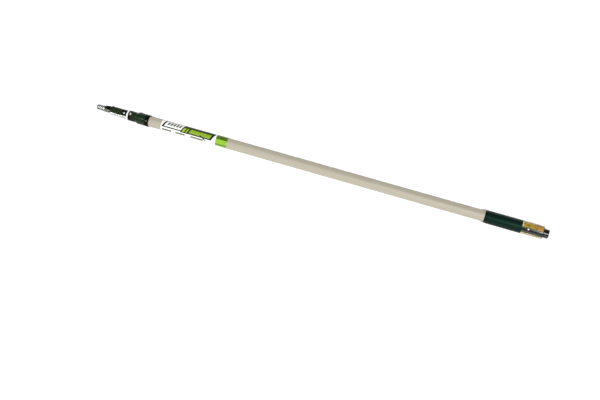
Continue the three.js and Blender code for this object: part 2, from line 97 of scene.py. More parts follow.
TIP_START, SHANK_END, SHANK_RADIUS = span("threaded_tip")
ARM_START, ARM_END, LEVER_RADIUS = span("lever_arm")
COVER_START, COVER_END, _ = span("lever_cover")
SPRING_LOW, SPRING_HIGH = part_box("lever_spring")
SPRING_X = (SPRING_LOW.x + SPRING_HIGH.x) / 2 / MM - TIP

# ---- sizes the boxes don't give

# Sides of a piece turned about the pole's axis.
ROUND = 96
TUBE_BORE = 12.5
POLE_BORE = 10.8
CAP_RADIUS = 11.75
THREAD_PITCH = 5.08
SHOULDER_START = 22
NECK_START = 25.7
NECK_RADIUS = 9.6
SHOULDER_RADIUS = 9.9
KEEL_TOP = -7.75
NECK_KEEL_TOP = -4.5
LEVER_BAY_END = STOP_START - 0.2
SLOT_X = 101.6
SLOT_ANGLE = radians(20.5)
CONE_START = 119.5
CONE_END = 123.5
CAVITY_RADIUS = 14.95
CAVITY_START = 124.5
PANEL_X = 134.3
LOCK_TRAVEL = 1.5
TOOTH_X = 135
TOOTH_RADIUS = 2
STOP_PITCH = 50.8
STOPS = 18
PIVOT = Vector((82, 2, 0))
PIVOT_RADIUS = 2
COLLAR_RIVET_X = 150.5
COLLAR_RIVET_ANGLE = radians(-11)
TIP_RIVET_X = 45.5
TIP_RIVET_ANGLE = radians(-59)


# ---- meshes

def soften(corners, steps=5):
    """A closed outline of (x, radius, fillet) corners as points, each filleted corner as an arc."""
    points = []
    for i, (x, radius, fillet) in enumerate(corners):
        here = Vector((x, radius))
        before = Vector(corners[i - 1][:2]) - here
        after = Vector(corners[(i + 1) % len(corners)][:2]) - here
        if not fillet:
            points.append(here)
            continue
        half = before.angle(after) / 2
        reach = min(fillet / tan(half), 0.49 * before.length, 0.49 * after.length)
        arc = reach * tan(half)
        middle = (before.normalized() + after.normalized()).normalized()
        centre = here + middle * arc / sin(half)
        start = here + before.normalized() * reach - centre
        end = here + after.normalized() * reach - centre
        turn = atan2(start.cross(end), start.dot(end))
        for k in range(steps + 1):
            points.append(centre + Matrix.Rotation(turn * k / steps, 2) @ start)
    return points


def divided(points, step):
    """The same closed outline with its long sides divided, so that no part is longer than step."""
    fine = []
    for i, here in enumerate(points):
        after = points[(i + 1) % len(points)]
        parts = 1
        if here.y > 0 or after.y > 0:
            parts = max(1, ceil((after - here).length / step))
        fine += [here.lerp(after, k / parts) for k in range(parts)]
    return fine


def mesh_from(grown):
    """A bmesh as a mesh with its faces pointing out."""
    bmesh.ops.recalc_face_normals(grown, faces=grown.faces)
    mesh = bpy.data.meshes.new("mesh")
    grown.to_mesh(mesh)
    grown.free()
    return mesh


def skin(grown, rings):
    """Faces between each ring of vertices and the next, without the repeats where a ring is one point."""
    for one, two in zip(rings, rings[1:]):
        for k in range(len(one)):
            after = (k + 1) % len(one)
            face = list(dict.fromkeys((one[k], one[after], two[after], two[k])))
            if len(face) > 2:
                grown.faces.new(face)


def turned(corners, sides=ROUND, step=None, relief=None, place=None):
    """Corners (x, radius, fillet) turned about the x axis. relief(x, angle, radius) gives the radius of a
    carved or raised surface, with the angle measured from +z towards +y."""
    profile = soften(corners)
    if step:
        profile = divided(profile, step)
    grown = bmesh.new()
    rings = []
    for x, radius in profile:
        if radius < 1e-6:
            rings.append([grown.verts.new((x, 0, 0))] * sides)
            continue
        ring = []
        for k in range(sides):
            angle = 2 * pi * k / sides
            reach = relief(x, angle, radius) if relief else radius
            ring.append(grown.verts.new((x, reach * sin(angle), reach * cos(angle))))
        rings.append(ring)
    skin(grown, rings + rings[:1])
    if place:
        bmesh.ops.transform(grown, matrix=place, verts=grown.verts)
    return mesh_from(grown)


def sleeve(start, end, bore, radius, fillet=0.3, **options):
    """A tube along the pole, with its outside corners rounded."""
    corners = [(start, bore, 0), (start, radius, fillet), (end, radius, fillet), (end, bore, 0)]
    return turned(corners, **options)


def rod(start, end, radius, fillet=0.0, **options):
    """A solid bar along the pole."""
    corners = [(start, 0, 0), (start, radius, fillet), (end, radius, fillet), (end, 0, 0)]
    return turned(corners, **options)


def lofted(sections):
    """Sections (x, closed ring of (y, z) points), skinned. Each ring is an outer line and, back again, an
    inner line with as many points, so its two ends are closed by the strip between the lines."""
    grown = bmesh.new()
    rings = [[grown.verts.new((x, y, z)) for y, z in ring] for x, ring in sections]
    skin(grown, rings)
    count = len(rings[0])
    for ring in (rings[0], rings[-1]):
        for k in range(count // 2 - 1):
            grown.faces.new((ring[k], ring[k + 1], ring[count - 2 - k], ring[count - 1 - k]))
    return mesh_from(grown)


def block(x0, x1, y0, y1, z0, z1, round_off=0.0):
    """A box, with its edges rounded if round_off is given."""
    grown = bmesh.new()
    bmesh.ops.create_cube(grown, size=1)
    centre = Vector((x0 + x1, y0 + y1, z0 + z1)) / 2
    size = Matrix.Diagonal((x1 - x0, y1 - y0, z1 - z0, 1))
    bmesh.ops.transform(grown, matrix=Matrix.Translation(centre) @ size, verts=grown.verts)
    if round_off:
        bmesh.ops.bevel(grown, geom=grown.edges[:], offset=round_off, segments=4, profile=0.5, affect="EDGES")
    return mesh_from(grown)


def extruded(outline, half_width):
    """An outline of (x, y) points carried sideways from -half_width to half_width."""
    grown = bmesh.new()
    sides = [[grown.verts.new((x, y, z)) for x, y in outline] for z in (-half_width, half_width)]
    skin(grown, sides)
    grown.faces.new(sides[0])
    grown.faces.new(sides[1][::-1])
    return mesh_from(grown)


def placed(name, data):
    """A new object in the scene."""
    thing = bpy.data.objects.new(name, data)
    bpy.context.scene.collection.objects.link(thing)
    return thing


def combined(base, tools, operation):
    """The base mesh with the tool meshes cut from it (DIFFERENCE), joined to it (UNION) or met with it."""
    blank = placed("blank", base)
    helpers = [placed("tool", tool) for tool in tools]
    for helper in helpers:
        modifier = blank.modifiers.new("tool", "BOOLEAN")
        modifier.object = helper
        modifier.operation = operation
        modifier.solver = "EXACT"
    result = bpy.data.meshes.new_from_object(blank.evaluated_get(bpy.context.evaluated_depsgraph_get()))
    for helper in [blank, *helpers]:
        bpy.data.objects.remove(helper)
    return result


def cut(base, *tools):
    return combined(base, tools, "DIFFERENCE")


def joined(base, *tools):
    return combined(base, tools, "UNION")


def met(base, *tools):
    return combined(base, tools, "INTERSECT")


def radial(x, angle):
    """Turns a piece drawn along x so that it points out from the pole's axis at x.
    The angle is measured from +z towards +y."""
    outwards = Matrix.Rotation(-angle, 4, "X") @ Matrix.Rotation(-pi / 2, 4, "Y")
    return Matrix.Translation((x, 0, 0)) @ outwards


def upright(x, y):
    """Turns a piece drawn along x so that it stands along z at (x, y)."""
    return Matrix.Translation((x, y, 0)) @ Matrix.Rotation(-pi / 2, 4, "Y")


def publish(name, mesh, material, body, nodes, sharp=40):
    """The finished piece: in the frame's metres, shaded smooth, riding on its body in place of its nodes.
    A spring's body is a tuple: its foot's body, its top's body, and where it follows each of them. Its
    entries are not used: the spring is left where it is drawn, on no body."""
    mesh.transform(TO_FRAME)
    mesh.name = name
    piece = placed(name, mesh)
    mesh.materials.clear()
    mesh.materials.append(material)
    mesh.polygons.foreach_set("use_smooth", [True] * len(mesh.polygons))
    mesh.set_sharp_from_angle(angle=radians(sharp))
    if isinstance(body, tuple):
        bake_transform(piece)
    else:
        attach(piece, body)
    if nodes:
        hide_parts(*nodes)


# ---- shader helpers

class Field:
    """A number that varies over a surface, worked out by Math nodes."""

    def __init__(self, tree, socket):
        self.tree = tree
        self.socket = socket

    def math(self, operation, *others):
        node = self.tree.nodes.new("ShaderNodeMath")
        node.operation = operation
        self.tree.links.new(self.socket, node.inputs[0])
        for i, other in enumerate(others, 1):
            if isinstance(other, Field):
                self.tree.links.new(other.socket, node.inputs[i])
            else:
                node.inputs[i].default_value = other
        return Field(self.tree, node.outputs[0])

    def __add__(self, other):
        return self.math("ADD", other)

    def __sub__(self, other):
        return self.math("SUBTRACT", other)

    def __mul__(self, other):
        return self.math("MULTIPLY", other)

    def either(self, other):
        return self.math("MAXIMUM", other)

    def inside(self, low, high):
        """1 between low and high, 0 elsewhere."""
        return self.math("GREATER_THAN", low) * self.math("LESS_THAN", high)

    def repeated(self, period):
        """Rises from 0 to half a period and falls back, over and over."""
        return self.math("PINGPONG", period / 2)


def fill(node, values):
    """Sets a shader node's inputs by name."""
    for key, value in values.items():
        node.inputs[key].default_value = value


class Paint:
    """A material's node tree, with the few nodes that every finish here is made of."""

    def __init__(self, name, roughness, metallic=0.0, coat=0.0, specular=0.5):
        self.material = bpy.data.materials.new(name)
        self.material.use_nodes = True
        self.tree = self.material.node_tree
        self.link = self.tree.links.new
        self.colour = None
        self.shader = self.tree.nodes["Principled BSDF"]
        fill(self.shader, {"Roughness": roughness, "Metallic": metallic, "Specular IOR Level": specular,
                           "Coat Weight": coat, "Coat Roughness": 0.12})

    def node(self, kind, **settings):
        node = self.tree.nodes.new(kind)
        for key, value in settings.items():
            setattr(node, key, value)
        return node

    def position(self):
        """The object's own coordinates, in metres, which are the frame's at rest."""
        return self.node("ShaderNodeTexCoord").outputs["Object"]

    def coordinate(self, axis):
        split = self.node("ShaderNodeSeparateXYZ")
        self.link(self.position(), split.inputs[0])
        return Field(self.tree, split.outputs[axis])

    def height(self):
        """Metres up from the pole's axis."""
        return self.coordinate("Z") - AXIS_HEIGHT * MM

    def along(self):
        """Millimetres from the tip."""
        return self.coordinate("X") * (1 / MM) - TIP

    def around(self, radius):
        """Millimetres round the pole from its top line, towards +y."""
        return self.coordinate("Y").math("ARCTAN2", self.height()) * radius

    def out(self):
        """Millimetres from the pole's axis."""
        across = self.coordinate("Y")
        height = self.height()
        return (height * height + across * across).math("SQRT") * (1 / MM)

    def noise(self, stretch, detail=4.0, roughness=0.55):
        """Noise from about 0 to 1, with stretch features per metre along each axis."""
        mapping = self.node("ShaderNodeMapping")
        fill(mapping, {"Scale": stretch})
        self.link(self.position(), mapping.inputs["Vector"])
        noise = self.node("ShaderNodeTexNoise")
        fill(noise, {"Scale": 1.0, "Detail": detail, "Roughness": roughness})
        self.link(mapping.outputs[0], noise.inputs["Vector"])
        return Field(self.tree, noise.outputs["Fac"])

    def cells(self, per_metre):
        """Distance from the middle of each cell of an even pebble pattern."""
        voronoi = self.node("ShaderNodeTexVoronoi")
        fill(voronoi, {"Scale": per_metre})
        self.link(self.position(), voronoi.inputs["Vector"])
        return Field(self.tree, voronoi.outputs["Distance"])

    def edges(self, low=0.53, high=0.62):
        """1 on rubbed outside edges, 0 on flat and hollow places."""
        geometry = self.node("ShaderNodeNewGeometry")
        return self.ranged(Field(self.tree, geometry.outputs["Pointiness"]), low, high)

    def ranged(self, field, low, high, to_low=0.0, to_high=1.0):
        """The field, clamped and carried from low..high to to_low..to_high."""
        node = self.node("ShaderNodeMapRange")
        self.link(field.socket, node.inputs["Value"])
        fill(node, {"From Min": low, "From Max": high, "To Min": to_low, "To Max": to_high})
        return Field(self.tree, node.outputs["Result"])

    def mixed(self, amount, below, above):
        """Colour below where amount is 0 and above where it is 1. Each is a colour or a node's output."""
        node = self.node("ShaderNodeMix", data_type="RGBA")
        self.link(amount.socket, node.inputs["Factor"])
        for key, value in (("A", below), ("B", above)):
            socket = next(s for s in node.inputs if s.name == key and s.type == "RGBA")
            if isinstance(value, bpy.types.NodeSocket):
                self.link(value, socket)
            else:
                socket.default_value = (*value, 1)
        return next(s for s in node.outputs if s.type == "RGBA")

    def layer(self, amount, above):
        """Lays a colour over the paint's own, where amount is 1."""
        self.colour = self.mixed(amount, self.colour, above)

    def set_colour(self, socket):
        self.link(socket, self.shader.inputs["Base Color"])

    def set_roughness(self, field):
        self.link(field.socket, self.shader.inputs["Roughness"])

    def set_bump(self, field, depth_mm, strength=1.0):
        bump = self.node("ShaderNodeBump")
        fill(bump, {"Distance": depth_mm * MM, "Strength": strength})
        self.link(field.socket, bump.inputs["Height"])
        self.link(bump.outputs["Normal"], self.shader.inputs["Normal"])


def shade(colour, factor):
    return tuple(min(1.0, c * factor) for c in colour)


# ---- materials

def fibreglass():
    """Beige pultruded fibreglass: long fibres under a satin surface veil, with faint blotches."""
    beige = (0.41, 0.375, 0.295)
    paint = Paint("fibreglass", 0.45)
    fibres = paint.ranged(paint.noise((7, 1100, 1100), detail=5), 0.35, 0.65)
    colour = paint.mixed(fibres, shade(beige, 0.94), shade(beige, 1.05))
    blotches = paint.ranged(paint.noise((22, 60, 60), detail=3), 0.45, 0.75, 0.0, 0.35)
    paint.set_colour(paint.mixed(blotches, colour, (0.385, 0.35, 0.30)))
    paint.set_roughness(paint.ranged(fibres, 0.0, 1.0, 0.40, 0.56))
    paint.set_bump(fibres, 0.03, 0.5)
    return paint.material


def moulded(name, colour, roughness, edge_light=2.2, specular=0.3, crest=None):
    """Moulded plastic: a fine spark-eroded texture, slight flow marks and paler rubbed edges.
    crest is the colour of the collar mouth's worn ribs, where it has them."""
    paint = Paint(name, roughness, specular=specular)
    flow = paint.ranged(paint.noise((45, 90, 90), detail=3), 0.3, 0.7)
    colours = paint.mixed(flow, shade(colour, 0.86), shade(colour, 1.14))
    colours = paint.mixed(paint.edges() * 0.6, colours, shade(colour, edge_light))
    if crest:
        worn = paint.ranged(paint.out(), MOUTH_RADIUS - 0.3, MOUTH_RADIUS - 0.02)
        worn = worn * paint.along().inside(SLOT_X + 2.6, HOUSING_START - 1)
        colours = paint.mixed(worn, colours, crest)
    paint.set_colour(colours)
    grain = paint.noise((2700, 2700, 2700), detail=2)
    paint.set_roughness(paint.ranged(grain + flow * 0.5, 0.4, 1.1, roughness - 0.06, roughness + 0.1))
    paint.set_bump(grain, 0.02, 0.5)
    return paint.material


def grip_rubber():
    """Dark green soft grip: a pebbled, matt surface that has picked up a little dust, with painted shade on
    its front lip and groove.
    """
    green = (0.002, 0.0075, 0.0048)
    paint = Paint("grip_rubber", 0.5, specular=0.17)
    fill(paint.shader, {"Specular Tint": (0.35, 1.0, 0.75, 1)})
    pebbles = paint.ranged(paint.cells(900), 0.0, 0.6, 1.0, 0.0)
    smears = paint.ranged(paint.noise((14, 50, 50), detail=5), 0.35, 0.75)
    colour = paint.mixed(smears, green, shade(green, 1.45))
    colour = paint.mixed(paint.edges() * 0.5, colour, (0.02, 0.034, 0.026))
    # Painted shade: the lip and groove at the grip's front end drawn nearly black.
    lip = paint.along().inside(GRIP_START - 1, GRIP_START + 4.2)
    paint.set_colour(paint.mixed(lip * 0.8, colour, (0.0008, 0.0015, 0.001)))
    paint.set_roughness(paint.ranged(smears, 0.0, 1.0, 0.44, 0.58))
    paint.set_bump(pebbles, 0.05, 0.6)
    return paint.material


def painted_tip_shade_and_reflections(paint):
    """Near 1 where the tip's metal is painted dark: painted shade on its neck, and two lines along its thread
    painted as dark reflections.
    """
    around = paint.around(degrees(1))
    neck = paint.along().inside(NECK_START, NECK_START + 17) * around.inside(-50, 60)
    lines = (around.inside(10, 42) * 0.9).either(around.inside(-52, -26) * 0.6)
    return neck.either(lines)


def metal(name, colour, roughness, stretch, bump=0.01, tarnish=0.82, dark=None):
    """Bare metal with its drawing, turning or casting texture, and a thin uneven tarnish.
    dark(paint) is 1 where painted shade and painted dark reflections darken the metal's colour."""
    paint = Paint(name, roughness, metallic=1.0)
    texture = paint.ranged(paint.noise(stretch, detail=5, roughness=0.65), 0.3, 0.7)
    film = paint.ranged(paint.noise((35, 90, 90), detail=3), 0.4, 0.75)
    colours = paint.mixed(film, colour, shade(colour, tarnish))
    colours = paint.mixed(paint.edges(0.52, 0.6) * 0.5, colours, shade(colour, 1.25))
    # Painted shade and painted dark reflections: the metal's colour at a quarter where dark(paint) is 1.
    if dark:
        colours = paint.mixed(dark(paint), colours, shade(colour, 0.25))
    paint.set_colour(colours)
    paint.set_roughness(paint.ranged(texture + film * 0.4, 0.0, 1.4, roughness - 0.08, roughness + 0.12))
    paint.set_bump(texture, bump, 0.6)
    return paint.material


def print_finish(paint):
    """The paint's layers under a slightly wavy film, with the fine grain of a print."""
    paint.set_colour(paint.colour)
    grain = paint.noise((1500, 1500, 1500), detail=1)
    paint.set_roughness(paint.ranged(grain, 0.3, 0.7, 0.24, 0.36))
    paint.set_bump(paint.noise((60, 140, 140), detail=2), 0.05, 0.5)
    return paint.material


def pole_print():
    """A wrap-round label: a slanted two-part banner, dashes under it and a lime end block, with painted shade
    on the block's side towards +y.
    Places are in millimetres from the label's front end, and round the pole from its top line."""
    white, ink = (0.86, 0.87, 0.83), (0.004, 0.006, 0.004)
    lime, olive = (0.32, 0.50, 0.035), (0.11, 0.13, 0.07)
    paint = Paint("pole_label_print", 0.3, specular=0.25)
    along, around = paint.along() - POLE_LABEL_START, paint.around(POLE_LABEL_RADIUS)
    slanted = along + around * -0.42
    mottle = paint.ranged(paint.noise((260, 260, 260), detail=2), 0.42, 0.58)

    pale_half = slanted.inside(4, 149) * around.inside(-4.4, 19)
    dark_half = slanted.inside(59, 149) * around.inside(-6.2, 19)
    paint.colour = paint.mixed(pale_half.either(dark_half), white, ink)
    field = slanted.inside(9.5, 60) * around.inside(-1.3, 16.5)
    paint.layer(field, white)
    bars = (slanted - 14).repeated(8.4).inside(1.3, 4.3) * slanted.inside(14, 54)
    paint.layer(bars * around.inside(3.6, 13.4), (0.11, 0.12, 0.11))
    lime_row = slanted.inside(60, 143) * around.inside(-3.4, 9.4)
    paint.layer(lime_row, shade(lime, 0.5))
    teeth = (slanted - 84).repeated(7.2).inside(0.8, 3.7) * slanted.inside(80, 143)
    paint.layer(teeth * around.inside(-1.6, 8.2) * mottle.either(teeth * 0.45), lime)
    between = slanted.inside(62, 78) * around.inside(-3.4, 8.2)
    paint.layer(between * 0.75, lime)
    slashes = slanted.inside(59, 62.5).either(slanted.inside(70, 73)).either(slanted.inside(77.5, 82))
    paint.layer(slashes * around.inside(-6.2, 19), ink)
    tab = (along + around * 1.43).inside(111.5, 117) * around.inside(-13, 0)
    paint.layer(tab, (0.04, 0.06, 0.035))

    dashes = along.inside(4, 32).either(along.inside(44, 71)).either(along.inside(88, 124))
    paint.layer(dashes * around.inside(-14.8, -9.2), olive)
    notes = around.repeated(5.0).inside(0.5, 1.4) * along.inside(12, 140)
    notes = notes * around.math("ABSOLUTE").inside(24, 44)
    paint.layer(notes, (0.45, 0.50, 0.40))

    end_block = along.math("GREATER_THAN", 158.8)
    bright = paint.mixed(mottle, (0.20, 0.46, 0.02), (0.30, 0.50, 0.03))
    paint.layer(end_block, bright)
    # Painted shade: a darker copy of the lime on the end block's side towards +y.
    dim = paint.mixed(mottle, (0.035, 0.09, 0.006), (0.10, 0.18, 0.012))
    paint.layer(end_block * around.inside(3.6, 19), dim)
    paint.layer(end_block * around.inside(-14, -9), (0.11, 0.19, 0.035))
    return print_finish(paint)


def grip_print():
    """A wrap-round label: a yellow panel with a worn end, a dark strip near its top line with one white
    spot that is a painted highlight, and a paler panel on the other side. Places are as in pole_print."""
    length = GRIP_LABEL_END - GRIP_LABEL_START
    paint = Paint("grip_label_print", 0.25, coat=0.3)
    along, around = paint.along() - GRIP_LABEL_START, paint.around(GRIP_RADIUS)
    blots = paint.ranged(paint.noise((150, 260, 260), detail=2), 0.42, 0.6)
    yellow = paint.mixed(blots, (0.44, 0.31, 0.03), (0.18, 0.11, 0.008))
    orange = paint.mixed(blots, (0.56, 0.27, 0.05), (0.30, 0.15, 0.015))
    warm = paint.ranged(along, 20, length - 8)
    panel = paint.mixed(warm * 0.75, yellow, orange)
    edge_strip = around.inside(13.5, 19) * along.inside(30, length)
    panel = paint.mixed(edge_strip, panel, (0.20, 0.06, 0.015))
    panel = paint.mixed(along.inside(0, 3.2), panel, (0.60, 0.54, 0.20))
    pale = paint.mixed(blots, (0.56, 0.48, 0.29), (0.27, 0.20, 0.09))
    paint.colour = paint.mixed(around.inside(-13.2, 1.7), panel, (0.004, 0.006, 0.003))
    paint.layer(around.inside(-53, -13.2), pale)
    paint.layer(around.inside(-14.4, -13.2), (0.16, 0.13, 0.05))
    # A painted highlight: one white spot on the dark strip.
    highlight_spot_radius = 2
    off_highlight_spot = (along - 16.5).math("POWER", 2) + (around + 2.6).math("POWER", 2)
    paint.layer(off_highlight_spot.math("LESS_THAN", highlight_spot_radius ** 2), (0.85, 0.85, 0.80))
    return print_finish(paint)


FIBREGLASS = fibreglass()
GRIP_RUBBER = grip_rubber()
POLE_PRINT = pole_print()
GRIP_PRINT = grip_print()
BLACK = moulded("black_plastic", (0.003, 0.003, 0.002), 0.45, specular=0.05)
GLOSSY_BLACK = moulded("glossy_black_plastic", (0.004, 0.004, 0.004), 0.17, specular=0.5)
BROWN_BLACK = moulded("brown_black_plastic", (0.005, 0.007, 0.003), 0.42, edge_light=5, specular=0.06,
                      crest=(0.040, 0.043, 0.025))
GREEN = moulded("green_plastic", (0.006, 0.023, 0.007), 0.20, edge_light=3, specular=0.22)
LEVER_GREEN = moulded("lever_green_plastic", (0.014, 0.026, 0.010), 0.45, specular=0.06)
NAVY = moulded("navy_plastic", (0.005, 0.009, 0.012), 0.36)
CREAM = moulded("cream_nylon", (0.58, 0.55, 0.42), 0.35, edge_light=1.1)
NYLON = moulded("light_nylon", (0.74, 0.75, 0.71), 0.42, edge_light=1.1)
ALUMINIUM = metal("aluminium", (0.52, 0.53, 0.52), 0.38, (9, 1300, 1300))
# The cast tip carries painted shade on its neck and painted dark reflections along its thread.
ZINC = metal("cast_zinc", (0.62, 0.63, 0.59), 0.22, (420, 420, 420), bump=0.02, tarnish=0.7,
             dark=painted_tip_shade_and_reflections)
PIN_STEEL = metal("pin_steel", (0.66, 0.66, 0.64), 0.30, (500, 500, 500))
RIVET_STEEL = metal("rivet_steel", (0.15, 0.16, 0.13), 0.5, (500, 500, 500))
SPRING_STEEL = metal("spring_steel", (0.50, 0.50, 0.49), 0.30, (900, 900, 900))


# ---- outer tube, grip and butt

def outer_tube():
    mesh = sleeve(TUBE_START, TUBE_END, TUBE_BORE, TUBE_RADIUS, fillet=0.4)
    publish("fibreglass_tube", mesh, FIBREGLASS, "handle", ["outer_tube"])


def grip():
    """The grip has a rolled front lip behind a shallow groove, and is turned down under its label."""
    bore = TUBE_RADIUS + 0.1
    recess = GRIP_RADIUS - 0.35
    mesh = turned([
        (GRIP_START, bore, 0),
        (GRIP_START, GRIP_RADIUS - 0.2, 1.1),
        (GRIP_START + 3.4, GRIP_RADIUS - 0.2, 0.5),
        (GRIP_START + 3.8, GRIP_RADIUS - 0.7, 0.2),
        (GRIP_START + 4.6, GRIP_RADIUS - 0.7, 0.2),
        (GRIP_START + 5.2, GRIP_RADIUS, 0.5),
        (GRIP_LABEL_START - 0.2, GRIP_RADIUS, 0.15),
        (GRIP_LABEL_START - 0.2, recess, 0),
        (GRIP_LABEL_END + 0.2, recess, 0),
        (GRIP_LABEL_END + 0.2, GRIP_RADIUS, 0.1),
        (GRIP_END, GRIP_RADIUS, 0.6),
        (GRIP_END, bore, 0),
    ])
    publish("hand_grip", mesh, GRIP_RUBBER, "handle", ["grip"])


def labels():
    """Two thin printed sleeves, one let into the grip and one on the outer tube."""
    mesh = sleeve(GRIP_LABEL_START, GRIP_LABEL_END, GRIP_RADIUS - 0.2, GRIP_RADIUS, fillet=0.05)
    publish("grip_sticker", mesh, GRIP_PRINT, "handle", ["grip_label"])
    mesh = sleeve(POLE_LABEL_START, POLE_LABEL_END, TUBE_RADIUS + 0.03, POLE_LABEL_RADIUS, fillet=0.06)
    publish("tube_sticker", mesh, POLE_PRINT, "handle", ["pole_label"])


def butt_cap():
    """A plug in the tube with a smaller boss behind, whose end has a dished middle and a moulding gate."""
    plug_start = TUBE_END - 13
    wall = 2.4
    mesh = turned([
        (plug_start, BUTT_PLUG_RADIUS - wall, 0.3),
        (plug_start, BUTT_PLUG_RADIUS, 0.8),
        (TUBE_END - 0.3, BUTT_PLUG_RADIUS, 0),
        (TUBE_END - 0.3, CAP_RADIUS, 0.1),
        (BUTT_END, CAP_RADIUS, 1.3),
        (BUTT_END, 7.6, 0.3),
        (BUTT_END - 0.8, 6.9, 0.3),
        (BUTT_END - 0.8, 1.6, 0.2),
        (BUTT_END - 0.3, 1.3, 0.2),
        (BUTT_END - 0.3, 0, 0),
        (BUTT_END - 4, 0, 0),
        (BUTT_END - 4, CAP_RADIUS - wall, 0.5),
        (TUBE_END - 2, CAP_RADIUS - wall, 0.5),
        (TUBE_END - 4, BUTT_PLUG_RADIUS - wall, 0.5),
    ])
    publish("end_cap", mesh, GLOSSY_BLACK, "handle", ["butt_cap"])


# ---- collar

def smooth(value, low, high):
    """0 below low, 1 above high, and an even rise between them."""
    t = min(1.0, max(0.0, (value - low) / (high - low)))
    return t * t * (3 - 2 * t)


def arc_from(angle, centre, radius):
    """Millimetres round a circle from a centre line, the short way."""
    return ((angle - centre + pi) % (2 * pi) - pi) * radius


def collar_mouth():
    """The black mouth of the collar, with crossed ribs behind two oval slots that hold pale pads."""
    bore = POLE_RADIUS + 0.2
    shell_end = HOUSING_START - 0.3
    spigot = 12.85
    ribs_start, ribs_middle, rib_depth = SLOT_X + 3, 108.5, 0.45
    rib_pitch = 2 * pi * MOUTH_RADIUS / 14

    def ribs(x, angle, radius):
        if radius < MOUTH_RADIUS - 0.1 or not ribs_start < x < shell_end - 0.8:
            return radius
        around = angle * MOUTH_RADIUS
        height = 0.0
        for lean in (0.62, -0.62):
            off = (around + lean * (x - ribs_middle) + rib_pitch / 2) % rib_pitch - rib_pitch / 2
            height = max(height, 1 - smooth(abs(off), 0.45, 0.9))
        front = smooth(x, ribs_start, ribs_start + 0.8)
        back = 1 - smooth(x, shell_end - 1.8, shell_end - 1.0)
        return radius - rib_depth * front * back * (1 - height)

    ring = turned([
        (MOUTH_START, bore + 0.3, 0.2),
        (MOUTH_START, MOUTH_RADIUS, 1.0),
        (shell_end, MOUTH_RADIUS, 0.3),
        (shell_end, spigot, 0),
        (shell_end + 6, spigot, 0.3),
        (shell_end + 6, bore, 0),
    ], sides=224, step=0.35, relief=ribs)
    slots = []
    for angle in (SLOT_ANGLE, pi - SLOT_ANGLE):
        oval = radial(SLOT_X, angle) @ Matrix.Diagonal((1, 4, 2.4, 1))
        slots.append(rod(MOUTH_RADIUS - 3, MOUTH_RADIUS + 3, 1, place=oval, sides=48))
    publish("collar_mouth", cut(ring, *slots), BROWN_BLACK, "handle", ["front_ring"])


def mouth_pads():
    """The pale ovals that stand a little proud in the mouth's two slots."""
    top = MOUTH_RADIUS + 0.15
    for side, angle in (("upper", SLOT_ANGLE), ("lower", pi - SLOT_ANGLE)):
        pad = turned([
            (POLE_RADIUS + 0.2, 0, 0),
            (POLE_RADIUS + 0.2, 1, 0),
            (MOUTH_RADIUS - 0.25, 1, 0.2),
            (top, 0.6, 0.3),
            (top, 0, 0),
        ], sides=48, place=radial(SLOT_X, angle) @ Matrix.Diagonal((1, 3.85, 2.25, 1)))
        publish(f"mouth_pad_{side}", pad, CREAM, "handle", [])


def collar_body():
    """The green body: nose, cone, barrel with the button's window, and a framed panel on both faces."""
    barrel_end = BAND_START - 0.3
    throat = 13
    seat = 15
    panel_height = 0.35

    def panel(x, angle, radius):
        if radius < COLLAR_RADIUS - 0.1:
            return radius
        rise = 0.0
        for centre in (0, pi):
            across = abs(arc_from(angle, centre, radius))
            box = max(abs(x - PANEL_X) - 4.4, across - 6.2)
            frame_line = 1 - smooth(abs(box), 0.7, 1.2)
            dot = 1 - smooth(hypot(x - PANEL_X, across), 1.6, 2.2)
            rise = max(rise, frame_line, dot)
        return radius + panel_height * rise

    shell = turned([
        (HOUSING_START, throat, 0),
        (HOUSING_START, MOUTH_RADIUS, 0.3),
        (CONE_START, MOUTH_RADIUS, 4.0),
        (CONE_END, COLLAR_RADIUS, 4.0),
        (barrel_end, COLLAR_RADIUS, 0.3),
        (barrel_end, seat, 0),
        (HOUSING_END, seat, 0.2),
        (HOUSING_END, TUBE_RADIUS + 0.15, 0),
        (TUBE_START - 0.4, TUBE_RADIUS + 0.15, 0),
        (TUBE_START - 0.4, CAVITY_RADIUS, 0),
        (CAVITY_START, CAVITY_RADIUS, 0.3),
        (CAVITY_START, POLE_RADIUS + 0.3, 0.2),
        (CONE_START + 0.4, POLE_RADIUS + 0.3, 0),
        (CONE_START + 0.4, throat, 0),
    ], sides=192, step=0.4, relief=panel)
    side = BUTTON_HALF_WIDTH + 0.3
    window = block(BUTTON_START - 0.3, BUTTON_END + 0.3, 8, 20, -side, side, round_off=0.5)
    publish("collar_body", cut(shell, window), GREEN, "handle", ["lock_housing"])


def collar_band():
    """The black band, with one turned groove."""
    bore = 15.1
    groove_x, groove_depth = 153.4, 0.55

    def groove(x, angle, radius):
        if radius < BAND_RADIUS - 0.1:
            return radius
        return radius - groove_depth * (1 - smooth(abs(x - groove_x), 0.55, 0.85))

    mesh = turned([
        (BAND_START, bore, 0),
        (BAND_START, BAND_RADIUS, 0.35),
        (BAND_END, BAND_RADIUS, 0.6),
        (BAND_END, bore, 0),
    ], sides=144, step=0.25, relief=groove)
    publish("collar_clamp", mesh, BLACK, "handle", ["collar_band"])


def rivets(piece, node, body, x, angle, seat, head, height, shank, depth):
    """Two rivets at x, on the upper and the lower side: domed heads of radius head on their shanks."""
    for side, towards in (("upper", angle), ("lower", pi - angle)):
        mesh = turned([
            (seat - depth, 0, 0),
            (seat - depth, shank, 0.1),
            (seat, shank, 0),
            (seat, head, 0.15),
            (seat + height * 0.55, head * 0.86, 0.3),
            (seat + height, head * 0.35, 0.6),
            (seat + height, 0, 0),
        ], sides=40, place=radial(x, towards))
        publish(f"{piece}_{side}", mesh, RIVET_STEEL, body, [f"{node}_{side}"])


def collar_rivets():
    rivets("clamp_rivet", "collar_rivet", "handle", COLLAR_RIVET_X, COLLAR_RIVET_ANGLE,
           seat=BAND_RADIUS, head=2.3, height=0.65, shank=1.4, depth=3.2)


